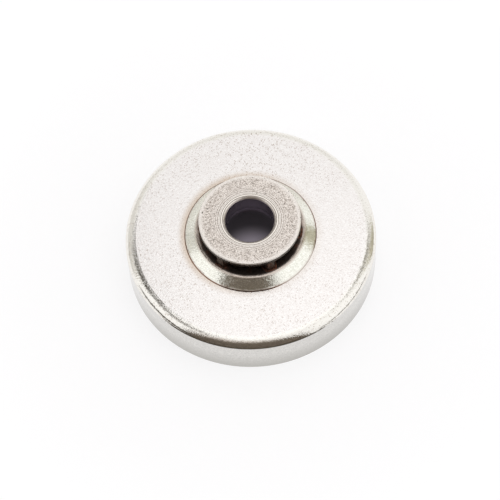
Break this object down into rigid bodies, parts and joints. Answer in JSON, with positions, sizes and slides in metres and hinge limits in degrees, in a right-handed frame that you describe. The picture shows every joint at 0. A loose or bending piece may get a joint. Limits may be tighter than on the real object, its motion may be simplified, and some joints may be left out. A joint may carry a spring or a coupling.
{
  "type": "chainsaw clutch drum",
  "caption": "Drawn steel clutch drum with a brazed-on spur sprocket between a bevelled flange and a guard washer, bored for a needle bearing; drives a saw chain.",
  "frame": {"origin": "centre of the open rim's plane, on the drum's axis; the drum stands on that rim", "axes": "+Z along the axis from the open rim towards the sprocket, one sprocket tooth along +X"},
  "size_m": [0.072, 0.072, 0.0218],
  "materials": {
    "drum_steel": "satin plated drawn sheet steel, fine speckle",
    "sprocket_steel": "plated sintered steel, faint yellow-green tint, dark in the gullets",
    "washer_steel": "matte tumbled steel, fine grain",
    "copper_braze": "darkened copper braze"
  },
  "bodies": {
    "root": {"drum_cup": "drum_steel", "drive_sprocket": "sprocket_steel", "guard_washer": "washer_steel", "flange_braze": "copper_braze"}
  },
  "joints": []
}
